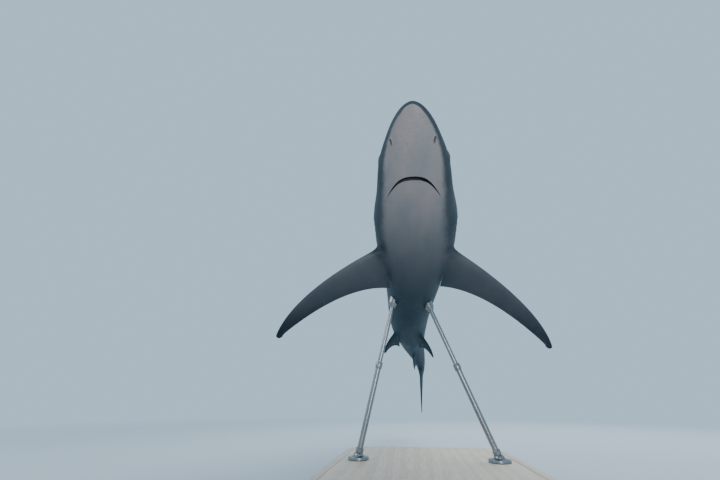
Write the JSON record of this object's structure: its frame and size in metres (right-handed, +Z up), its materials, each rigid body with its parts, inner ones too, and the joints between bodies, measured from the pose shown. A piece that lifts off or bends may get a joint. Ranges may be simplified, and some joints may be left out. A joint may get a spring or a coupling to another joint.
{
  "type": "silky shark",
  "caption": "Life-size silky shark with long curved pectoral fins and a gently bent body, climbing on a display stand with a flat base and slim rods.",
  "frame": {"origin": "centre of the underside of the stand's base, on the surface it stands on", "axes": "+Z up; the shark heads towards -Y with its snout raised, its left side is towards +X, and the tail is at +Y"},
  "size_m": [0.9929, 2.0965, 0.9404],
  "materials": {
    "skin": "satin sharkskin, dark grey-brown back and pale warm-grey belly with dusky fin tips",
    "eye": "wet gloss, grey-green iris and black pupil",
    "base_board": "limed oak board, satin",
    "stand_steel": "satin"
  },
  "bodies": {
    "root": {"head": "skin", "lower_jaw": "skin", "gill_region": "skin", "trunk_front": "skin", "trunk_rear": "skin", "tail_stalk": "skin", "tail_fin_upper_lobe": "skin", "tail_fin_lower_lobe": "skin", "first_dorsal_fin": "skin", "second_dorsal_fin": "skin", "anal_fin": "skin", "pectoral_fin_left": "skin", "pectoral_fin_right": "skin", "pelvic_fin_left": "skin", "pelvic_fin_right": "skin", "eye_left": "eye", "eye_right": "eye", "stand_base": "base_board", "stand_foot_left": "stand_steel", "stand_rod_left": "stand_steel", "stand_cup_left": "stand_steel", "stand_foot_right": "stand_steel", "stand_rod_right": "stand_steel", "stand_cup_right": "stand_steel"}
  },
  "joints": []
}
